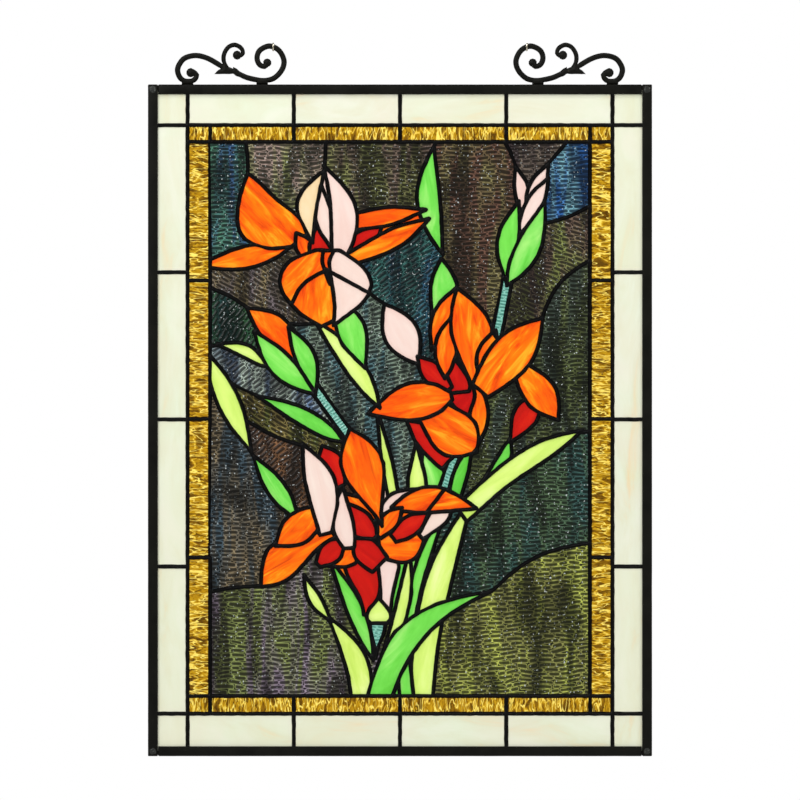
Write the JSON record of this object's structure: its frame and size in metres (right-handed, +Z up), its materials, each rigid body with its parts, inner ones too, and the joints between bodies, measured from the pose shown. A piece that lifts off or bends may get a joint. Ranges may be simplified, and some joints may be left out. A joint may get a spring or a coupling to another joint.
{
  "type": "stained glass window panel",
  "caption": "Hanging stained glass panel with orange flowers, green leaves, a rippled dark ground, amber and cream glass borders, a black channel frame and scroll hangers.",
  "frame": {"origin": "midway between the two hanging rings, in the panel's middle plane", "axes": "+Z up towards the hangers, -Y out of the front face, +X to the right seen from the front"},
  "size_m": [0.457, 0.0088, 0.6476],
  "materials": {
    "frame_metal": "satin",
    "solder": "satin",
    "ring_wire": "satin",
    "pearl_glass": "gloss",
    "amber_glass": "gloss",
    "ground_glass": "gloss",
    "orange_glass": "gloss",
    "blush_glass": "gloss",
    "leaf_glass": "gloss"
  },
  "bodies": {
    "root": {"frame_bottom": "frame_metal", "frame_left": "frame_metal", "frame_right": "frame_metal", "frame_top": "frame_metal", "glass_amber_bottom": "amber_glass", "glass_amber_left": "amber_glass", "glass_amber_right": "amber_glass", "glass_amber_top": "amber_glass", "glass_ground_01": "ground_glass", "glass_ground_02": "ground_glass", "glass_ground_03": "ground_glass", "glass_ground_04": "ground_glass", "glass_ground_05": "ground_glass", "glass_ground_06": "ground_glass", "glass_ground_07": "ground_glass", "glass_ground_08": "ground_glass", "glass_ground_09": "ground_glass", "glass_ground_10": "ground_glass", "glass_leaf_01": "leaf_glass", "glass_leaf_02": "leaf_glass", "glass_leaf_03": "leaf_glass", "glass_leaf_04": "leaf_glass", "glass_leaf_05": "leaf_glass", "glass_leaf_06": "leaf_glass", "glass_leaf_07": "leaf_glass", "glass_leaf_08": "leaf_glass", "glass_leaf_09": "leaf_glass", "glass_leaf_10": "leaf_glass", "glass_leaf_11": "leaf_glass", "glass_leaf_12": "leaf_glass", "glass_leaf_13": "leaf_glass", "glass_leaf_14": "leaf_glass", "glass_leaf_15": "leaf_glass", "glass_leaf_16": "leaf_glass", "glass_pale_01": "blush_glass", "glass_pale_02": "blush_glass", "glass_pale_03": "blush_glass", "glass_pale_04": "blush_glass", "glass_pale_05": "blush_glass", "glass_pale_06": "blush_glass", "glass_pale_07": "blush_glass", "glass_pearl_bottom": "pearl_glass", "glass_pearl_left": "pearl_glass", "glass_pearl_right": "pearl_glass", "glass_pearl_top": "pearl_glass", "glass_warm_01": "orange_glass", "glass_warm_02": "orange_glass", "glass_warm_03": "orange_glass", "glass_warm_04": "orange_glass", "glass_warm_05": "orange_glass", "hanger_left": "frame_metal", "hanger_right": "frame_metal", "ring_left": "ring_wire", "ring_right": "ring_wire", "solder_seams": "solder"}
  },
  "joints": []
}
